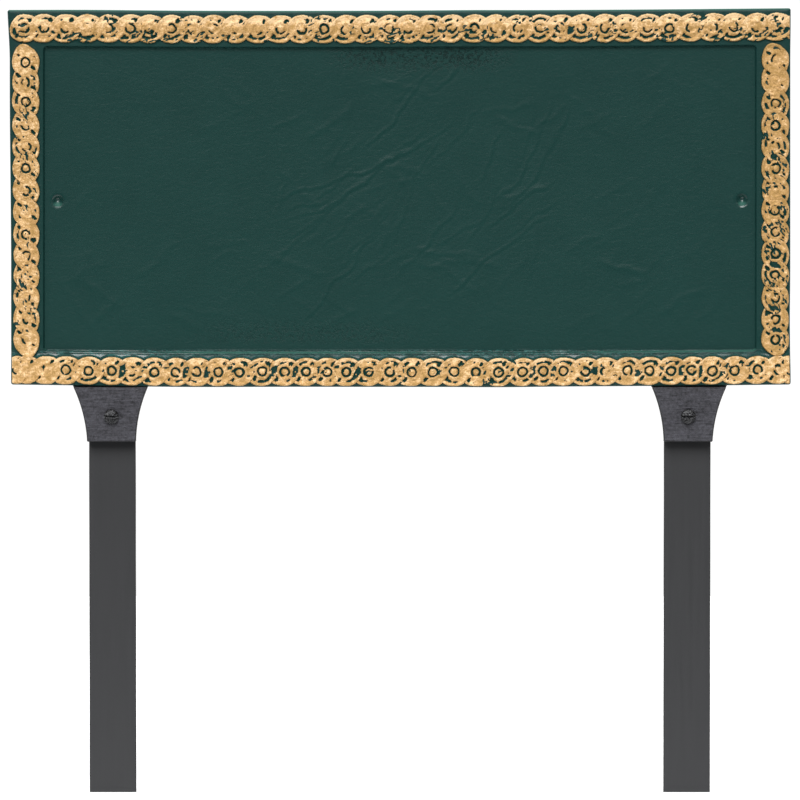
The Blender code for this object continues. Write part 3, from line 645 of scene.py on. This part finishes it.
# The same painted highlights along the runs, on the upward faces of the fillet.
ridge_highlights = ramp(gilded_tree, level_runs(gilded_tree), (0.43, 0.0), (0.5, 1.0), (0.57, 0.0))
under_colour, _ = green_coat(gilded_tree)
under_colour = mixed(gilded_tree, lit_from_above * open_share, under_colour, FILLET_TOP_LIGHT)
under_colour = mixed(gilded_tree, lit_from_above * ridge_highlights * open_share, under_colour, FILLET_RIDGE_HIGHLIGHT)
under_colour = mixed(gilded_tree, hollow, under_colour, HOLLOW_SHADE_GREEN)
plug(gilded_tree, mixed(gilded_tree, green_share, gold_tone, under_colour), gilded_shader, "Base Color")
plug(gilded_tree, green_share * open_share * -0.15 + 0.48, gilded_shader, "Roughness")
plug(gilded_tree, (1 - green_share) * 0.2, gilded_shader, "Metallic")
skin = patchy * 0.6 + fine * 1.2 + (1 - green_share) * 0.5
plug(gilded_tree, bumped(gilded_tree, skin, 0.28 * mm), gilded_shader, "Normal")
gilded_shader.inputs["Specular IOR Level"].default_value = 0.1

PATTERN_SHRINK = 0.999  # the rows came out a little shorter than their pattern


def rope_piece(name, eyes, to_panel, cell, reach, seed, smeared, paint, rub=0.0, ends=1.0, cove=0.14):
    """One row of the border, modelled along x and carried to its place on the rim.

    reach is how far the fillet round the rope may run at the row's low and high side and at its
    ends, paint how much paler the gold is where it lies thick, and the painted light and shade laid
    on it: paler on the upper side of a row, darker on the right column."""
    eyes = np.array(eyes) * PATTERN_SHRINK
    first, last = eyes[0] - ROPE_RADIUS * ends, eyes[-1] + ROPE_RADIUS * ends
    s_lines = np.arange(first - reach[2], last + reach[2] + cell, cell)
    t_lines = np.arange(-ROPE_RADIUS - reach[0], ROPE_RADIUS + reach[1] + cell / 2, cell)
    s, t = np.meshgrid(s_lines, t_lines)
    height, bare, shade = rope_relief(s, t, eyes, seed, smeared, rub, ends, cove)
    x, z = to_panel(s * mm, t * mm)
    inset = inside(x, z, PANEL_WIDTH / 2, PANEL_LOW, PANEL_HIGH, OUTER_CORNER)
    height -= 3.0 * ease(0.8 * mm, 0.1 * mm, inset)
    y = face_depth(x, z) - height * mm
    x, z = bend(x, z)
    points = np.stack((x, y, z), axis=2).reshape(-1, 3)
    quads = grid_faces(len(s_lines), len(t_lines))
    quads = quads[(height.ravel()[quads] > -0.25).any(axis=1)]
    used, quads = np.unique(quads, return_inverse=True)
    quads = quads.reshape(-1, 4).tolist()
    piece = new_piece(name, points[used], quads, gilded, "panel")
    set_attribute(piece, "bare", bare.ravel()[used])
    set_attribute(piece, "hollow", shade.ravel()[used])
    set_attribute(piece, "thick", np.broadcast_to(paint(s, t), s.shape).ravel()[used])


# Where the eyes of each row lie, in mm from the sign's middle line or down from the columns'
# middle: the pattern was cut by hand, so they aren't evenly spaced.
TOP_EYES = (
    -204.2, -193.4, -181.6, -170.2, -158.3, -146.4, -136.0, -124.0, -112.6, -101.4, -89.3, -76.9,
    -64.9, -53.2, -41.3, -29.5, -18.3, -5.8, 4.7, 16.3, 28.0, 40.4, 51.9, 64.1, 76.0, 87.4, 99.0,
    111.5, 122.6, 134.8, 146.8, 158.3, 170.5, 181.6, 193.8, 205.1, 217.2,
)
BOTTOM_EYES = (
    -209.5, -203.5, -192.4, -181.6, -169.3, -156.7, -145.7, -133.6, -121.8, -110.5, -98.7, -87.2,
    -75.0, -62.8, -51.1, -39.4, -29.1, -17.1, -5.6, 6.4, 18.0, 29.7, 41.4, 53.6, 66.6, 77.9, 89.0,
    100.8, 111.7, 123.9, 135.6, 147.6, 158.8, 169.9, 182.2, 194.5, 205.8, 212.0,
)
LEFT_EYES = (-75.4, -64.5, -54.0, -40.8, -29.2, -17.5, -5.4, 6.2, 18.3, 29.9, 40.8, 52.8, 64.5, 75.8)
RIGHT_EYES = (-76.1, -64.9, -52.0, -40.2, -29.2, -16.9, -5.1, 6.0, 17.5, 29.4, 40.8, 53.2, 64.9, 75.8)
TOP_ROW, BOTTOM_ROW, COLUMN_MIDDLE = 415.75 * mm, 229.9 * mm, 322.0 * mm
LEFT_COLUMN, RIGHT_COLUMN = -203.4 * mm, 204.1 * mm
ROW_CELL, COLUMN_CELL = 0.3, 0.22


def along_row(row):
    return lambda s, t: (s, row + t)


def down_column(column):
    return lambda s, t: (t + column, COLUMN_MIDDLE - s)


def top_smear(s, t):
    dragged = ease(-110, -95, s) * ease(-55, -70, s) * ease(-4, 0, t)
    return 0.65 * ease(-2.5, 1.5, t) + 0.6 * dragged - 0.3


def bottom_smear(s, t):
    ends = ease(-184, -192, s) + 0.6 * ease(190, 198, s)
    return ends + 0.25 * ease(3.0, 6.0, np.abs(t)) - 0.2


# The last lambda of each row is carried as "thick": paler gold towards the upper side of the rows is
# painted light from above, and the lower value on the right column is painted shade.
rope_piece(
    "rope_top", TOP_EYES, along_row(TOP_ROW), ROW_CELL, (1.6, 1.6, 0.5), 31,
    top_smear, lambda s, t: 0.17 * ease(0.0, 5.0, t) - 0.04, rub=0.3,
)
rope_piece(
    "rope_bottom", BOTTOM_EYES, along_row(BOTTOM_ROW), ROW_CELL, (0.25, 1.7, 0.5), 47,
    bottom_smear, lambda s, t: 0.1 * ease(3.0, 7.0, t) - 0.02, rub=0.8, cove=0.5,
)
rope_piece(
    "rope_left", LEFT_EYES, down_column(LEFT_COLUMN), COLUMN_CELL, (0.6, 1.4, 1.2), 63,
    lambda s, t: 0.5 * ease(62, 78, np.abs(s)) + 0.2, lambda s, t: -0.01, rub=0.2, ends=1.25,
)
rope_piece(
    "rope_right", RIGHT_EYES, down_column(RIGHT_COLUMN), COLUMN_CELL, (1.4, 0.5, 1.2), 79,
    lambda s, t: 0.6 * ease(-52, -68, s) - 0.15, lambda s, t: -0.07, rub=0.6, ends=1.15,
)

# The brackets: dark castings, a 30 mm flared lug under the panel with a thinner leaf behind it.
# Each is painted in a coarse dark grey and leans outwards a little; the right one mirrors the left.

STAKE_X, BRACKET_OUT, BRACKET_LEAN, LEAN_START = 156.2, 0.5, 0.018, 191.0
LUG_FOOT, LUG_SHELF, LUG_HALF, LUG_FRONT, BRACKET_BACK = 190.7, 220.45, 13.2, -11.7, -2.7
FLARE_START, FLARE_RADIUS = 188.0, 78.7
LEAF_ROUND_START, LEAF_TOP, LEAF_HALF, LEAF_FRONT, LEAF_ROUND = 241.5, 246.4, 25.0, -5.7, 5.0
LUG_EDGE, LEAF_EDGE, FOOT_ROUND, SHELF_ROUND = 0.9, 0.5, 0.5, 0.3
CAST_DARK, CAST_LIGHT = (0.0035, 0.0034, 0.0039), (0.117, 0.1165, 0.137)
CAST_SIDE_SHADE = (0.015, 0.015, 0.017)
grey_cast, cast_tree, cast_shader = finish("bracket_paint")
cast_place = place_wire(cast_tree)
sand = noise(cast_tree, cast_place, 720.0, 4.0, 0.75)
blotch = noise(cast_tree, cast_place, 90.0, 3.0)
file_place = place_wire(cast_tree, (0.12, 1.0, 1.6), math.radians(4.0))
file_marks = noise(cast_tree, file_place, 900.0, 2.0)
lightness = sand * 1.5 + file_marks * 0.8 + blotch * 0.2 - 0.76
cast_colour = mixed(cast_tree, lightness, CAST_DARK, CAST_LIGHT)


def painted_side_shade(tree, colour, side_shade):
    """The colour with painted shade: darker where a surface turns to a side or to the ground."""
    aside = node(tree, "Math", {"operation": "ABSOLUTE"}, {0: turned_to(tree, "X")})
    down = turned_to(tree, "Z") * -1.0
    most = node(tree, "Math", {"operation": "MAXIMUM"}, {0: down, 1: aside})
    return mixed(tree, ramp(tree, most, (0.18, 0.0), (0.6, 1.0)), colour, side_shade)


# The bracket's sides and underside get painted shade.
plug(cast_tree, painted_side_shade(cast_tree, cast_colour, CAST_SIDE_SHADE), cast_shader, "Base Color")
plug(cast_tree, sand * 0.2 + 0.48, cast_shader, "Roughness")
plug(cast_tree, bumped(cast_tree, sand * 4.0 + file_marks * 3.0, 0.36 * mm), cast_shader, "Normal")
cast_shader.inputs["Specular IOR Level"].default_value = 0.3


def loft(sections):
    """Points and faces of a closed skin through rings of equal length, flat at both ends."""
    points = np.concatenate(sections)
    size = len(sections[0])
    faces = []
    for ring in range(len(sections) - 1):
        for index in range(size):
            after = (index + 1) % size
            low, high = ring * size, (ring + 1) * size
            faces.append((low + index, low + after, high + after, high + index))
    faces.append(tuple(range(size))[::-1])
    faces.append(tuple(range(len(points) - size, len(points))))
    return points, faces


CORNER_STEPS, SIDE_STEPS = 4, 8


def bar_section(middle, half, front, back, z, corner):
    """A rounded rectangle seen from above, in mm, with points along its flat sides."""
    ring = []
    centres = (
        (half - corner, front + corner, -90.0),
        (half - corner, back - corner, 0.0),
        (corner - half, back - corner, 90.0),
        (corner - half, front + corner, 180.0),
    )
    for number, (x, y, start) in enumerate(centres):
        for step in range(CORNER_STEPS + 1):
            angle = math.radians(start + 90.0 * step / CORNER_STEPS)
            ring.append((middle + x + corner * math.cos(angle), y + corner * math.sin(angle), z))
        if number in (1, 3):
            end = centres[(number + 1) % 4]
            edge = back if number == 1 else front
            for step in range(1, SIDE_STEPS):
                ring.append((middle + x + (end[0] - x) * step / SIDE_STEPS, edge, z))
    return np.array(ring) * mm


def flared_half(z):
    """Half a bracket's width: straight at its foot, then flaring out in an arc."""
    arc = FLARE_RADIUS - math.sqrt(FLARE_RADIUS**2 - max(z - FLARE_START, 0.0) ** 2)
    return min(LUG_HALF + arc, LEAF_HALF)


def leaning_middle(side, z):
    return side * (STAKE_X + BRACKET_OUT + BRACKET_LEAN * (z - LEAN_START))


SHARP_ANGLE = math.radians(50.0)
lug_body = np.linspace(LUG_FOOT + 1.2, LUG_SHELF - 0.7, 26)
lug_heights = (LUG_FOOT, LUG_FOOT + 0.15, LUG_FOOT + 0.5, *lug_body, LUG_SHELF - SHELF_ROUND, LUG_SHELF)
leaf_heights = (LUG_SHELF + 0.01, 230.0, 241.4, *np.linspace(LEAF_ROUND_START + 1.0, LEAF_TOP, 6))
for side, label in ((-1, "left"), (1, "right")):
    sections = []
    for z in lug_heights:
        round_off = FOOT_ROUND * max(0.0, 1 - (z - LUG_FOOT) / FOOT_ROUND) ** 2
        round_off += SHELF_ROUND * max(0.0, 1 - (LUG_SHELF - z) / SHELF_ROUND)
        half, front_y = flared_half(z) - round_off, LUG_FRONT + round_off
        middle = leaning_middle(side, z)
        sections.append(bar_section(middle, half, front_y, BRACKET_BACK, z, LUG_EDGE))
    for z in leaf_heights:
        into_round = max(0.0, z - LEAF_ROUND_START)
        half = flared_half(z) - (LEAF_ROUND - math.sqrt(LEAF_ROUND**2 - into_round**2))
        middle = leaning_middle(side, z)
        sections.append(bar_section(middle, half, LEAF_FRONT, BRACKET_BACK, z, LEAF_EDGE))
    bracket_points, bracket_faces = loft(sections)
    name = "bracket_" + label
    bracket = new_piece("cast_" + name, bracket_points, bracket_faces, grey_cast, name)
    bracket.data.set_sharp_from_angle(angle=SHARP_ANGLE)

# The stakes: 1 in flat steel bar, rolled with slightly round edges, painted a smooth dark grey
# with faint lengthwise streaks, and set in the ground, where they are cut off flat here.

STAKE_TOP, STAKE_HALF, STAKE_BACK, STAKE_EDGE = 241.5, 12.7, 2.4, 0.6
STAKE_OUT, TOE_IN, MILL_WAVE, STAKE_RINGS = 0.32, 0.45, 0.05, 70
BAR_DARK, BAR_LIGHT, BAR_SIDE_SHADE = (0.019, 0.0195, 0.021), (0.027, 0.0277, 0.0298), (0.02, 0.02, 0.022)
bar_paint, bar_tree, bar_shader = finish("stake_paint")
long_streaks = noise(bar_tree, place_wire(bar_tree, (1.0, 1.0, 0.05)), 420.0, 3.0)
mottle = noise(bar_tree, place_wire(bar_tree), 800.0, 2.0)
bar_colour = mixed(bar_tree, long_streaks * 0.6 + mottle * 0.4, BAR_DARK, BAR_LIGHT)
# The stake's edges and foot get painted shade.
plug(bar_tree, painted_side_shade(bar_tree, bar_colour, BAR_SIDE_SHADE), bar_shader, "Base Color")
plug(bar_tree, long_streaks * 0.15 + 0.4, bar_shader, "Roughness")
plug(bar_tree, bumped(bar_tree, long_streaks * 0.5 + mottle * 0.3, 0.05 * mm), bar_shader, "Normal")
bar_shader.inputs["Specular IOR Level"].default_value = 0.3

for side, label in ((-1, "left"), (1, "right")):
    sections = []
    for z in np.linspace(0.0, STAKE_TOP, STAKE_RINGS):
        half = STAKE_HALF - MILL_WAVE * math.sin(z / 23.0 + side) ** 2
        middle = side * (STAKE_X + STAKE_OUT - TOE_IN * (1 - z / STAKE_TOP))
        sections.append(bar_section(middle, half, -STAKE_BACK, STAKE_BACK, z, STAKE_EDGE))
    bar_points, bar_faces = loft(sections)
    name = "stake_" + label
    stake = new_piece("flat_bar_" + label, bar_points, bar_faces, bar_paint, name)
    stake.data.set_sharp_from_angle(angle=SHARP_ANGLE)

# The fasteners: number 8 slotted round-head screws in blackened steel, with a hex nut behind each
# front screw. The back screws run through stake and bracket into the casting.

FRONT_SCREW_Z, FRONT_SEAT, FRONT_SHANK, FRONT_OUT, FRONT_HEAD = 204.3, -12.0, 19.1, 0.5, 2.88
BACK_SCREW_Z, BACK_SEAT, BACK_SHANK, BACK_HEAD = 231.0, 2.7, 12.1, 2.4
HEAD_RADIUS, SHANK_RADIUS, THREAD_ROOT, THREAD_PITCH, AXIS = 4.1, 2.05, 1.75, 0.8, 0.01
SLOT_HALF, SLOT_DEPTH = 0.6, 1.6
NUT_CORNER, NUT_CHAMFER, NUT_FACE, NUT_BORE, NUT_HEIGHT = 4.95, 5.1, 4.45, 2.3, 3.2
TURN_STEPS, SCREW_SHARP, NUT_SHARP = 48, 40.0, 25.0
BLACK, BARE_STEEL_GLINT = (0.006, 0.006, 0.007), (0.2, 0.204, 0.21)
black, black_tree, black_shader = finish("black_steel")
scuffs = noise(black_tree, place_wire(black_tree), 1600.0, 3.0, 0.65)
# Specks of bare steel where the black is scuffed: worn steel, and also painted glints on the heads.
scuff_glints = ramp(black_tree, scuffs, (0.45, 0.0), (0.8, 1.0))
plug(black_tree, mixed(black_tree, scuff_glints, BLACK, BARE_STEEL_GLINT), black_shader, "Base Color")
plug(black_tree, scuffs * 0.25 + 0.22, black_shader, "Roughness")
plug(black_tree, bumped(black_tree, scuffs, 0.3 * mm), black_shader, "Normal")
black_shader.inputs["Metallic"].default_value = 0.75


def turned(profile):
    """A closed profile of (radius, height) in mm, turned about z."""
    angles = np.arange(TURN_STEPS) * 2 * math.pi / TURN_STEPS
    rings = []
    for radius, height in profile:
        flat = np.full(TURN_STEPS, height)
        rings.append(np.stack((radius * np.cos(angles), radius * np.sin(angles), flat), 1) * mm)
    return loft(rings)


def shape(points, faces):
    """A scratch object for cutting."""
    mesh = bpy.data.meshes.new("cut")
    mesh.from_pydata(np.asarray(points).tolist(), [], faces)
    helper = bpy.data.objects.new("cut", mesh)
    studio.collection.objects.link(helper)
    return helper


def cut_mesh(piece, other, operation):
    """The points and faces of one shape after another is cut from it or kept in it."""
    boolean = piece.modifiers.new("cut", "BOOLEAN")
    boolean.operation = operation
    boolean.solver = "EXACT"
    boolean.object = other
    bpy.context.view_layer.update()
    graph = bpy.context.evaluated_depsgraph_get()
    mesh = bpy.data.meshes.new_from_object(piece.evaluated_get(graph))
    points = np.array([vertex.co for vertex in mesh.vertices])
    faces = [tuple(face.vertices) for face in mesh.polygons]
    for helper in (piece, other):
        bpy.data.objects.remove(helper)
    return points, faces


def fastener(name, points, faces, x, y, z, back, node_name, sharp):
    """An upright fastener laid down at its place in mm, its top to the front or to the back."""
    turn = -1 if back else 1
    laid = (x * mm + points[:, 0], y * mm - turn * points[:, 2], z * mm + turn * points[:, 1])
    piece = new_piece(name, np.stack(laid, 1), faces, black, node_name)
    piece.data.set_sharp_from_angle(angle=math.radians(sharp))


def screw(head, shank):
    """A round head with a slot, over its shank with rolled threads."""
    profile = [(AXIS, head)]
    for angle in (8, 18, 28, 38, 48, 58, 68, 78, 90):
        lean = math.radians(angle)
        high = head * (0.4 + 0.6 * math.cos(lean) ** 0.8)
        profile.append((HEAD_RADIUS * math.sin(lean) ** 0.85, high))
    profile += [(HEAD_RADIUS, 0.15), (HEAD_RADIUS - 0.2, 0.0), (SHANK_RADIUS, 0.0)]
    for thread in range(int(shank / THREAD_PITCH)):
        top = -THREAD_PITCH * thread
        profile += [(SHANK_RADIUS, top - 0.2), (THREAD_ROOT, top - 0.6)]
    profile += [(THREAD_ROOT - 0.05, -shank), (AXIS, -shank)]
    slot = ((-6.0, 6.0), (-SLOT_HALF, SLOT_HALF), (head - SLOT_DEPTH, head + 1.0))
    corners = np.array([(x, y, z) for x in slot[0] for y in slot[1] for z in slot[2]])
    sides = [(0, 1, 3, 2), (4, 6, 7, 5), (0, 4, 5, 1), (2, 3, 7, 6), (0, 2, 6, 4), (1, 5, 7, 3)]
    return cut_mesh(shape(*turned(profile[::-1])), shape(corners * mm, sides), "DIFFERENCE")


def nut():
    """A hex nut with its corners turned down."""
    corners = [math.radians(60 * number) for number in range(6)]
    ring = [(NUT_CORNER * math.cos(angle), NUT_CORNER * math.sin(angle)) for angle in corners]
    prism = loft([np.array([(x, y, z) for x, y in ring]) * mm for z in (0.0, NUT_HEIGHT)])
    low = [(NUT_BORE, 0.0), (NUT_FACE, 0.0), (NUT_CHAMFER, 0.4)]
    high = [(radius, NUT_HEIGHT - height) for radius, height in low[::-1]]
    return cut_mesh(shape(*prism), shape(*turned(low + high)), "INTERSECT")


for side, label in ((-1, "left"), (1, "right")):
    x = side * STAKE_X
    front_x = x + side * FRONT_OUT
    fastener(
        "round_head_" + label, *screw(FRONT_HEAD, FRONT_SHANK),
        front_x, FRONT_SEAT, FRONT_SCREW_Z, False, "front_screw_" + label, SCREW_SHARP,
    )
    fastener(
        "rear_screw_" + label, *screw(BACK_HEAD, BACK_SHANK),
        x, BACK_SEAT, BACK_SCREW_Z, True, "back_screw_" + label, SCREW_SHARP,
    )
    fastener(
        "hex_nut_" + label, *nut(),
        front_x, BACK_SEAT, FRONT_SCREW_Z, True, "nut_" + label, NUT_SHARP,
    )
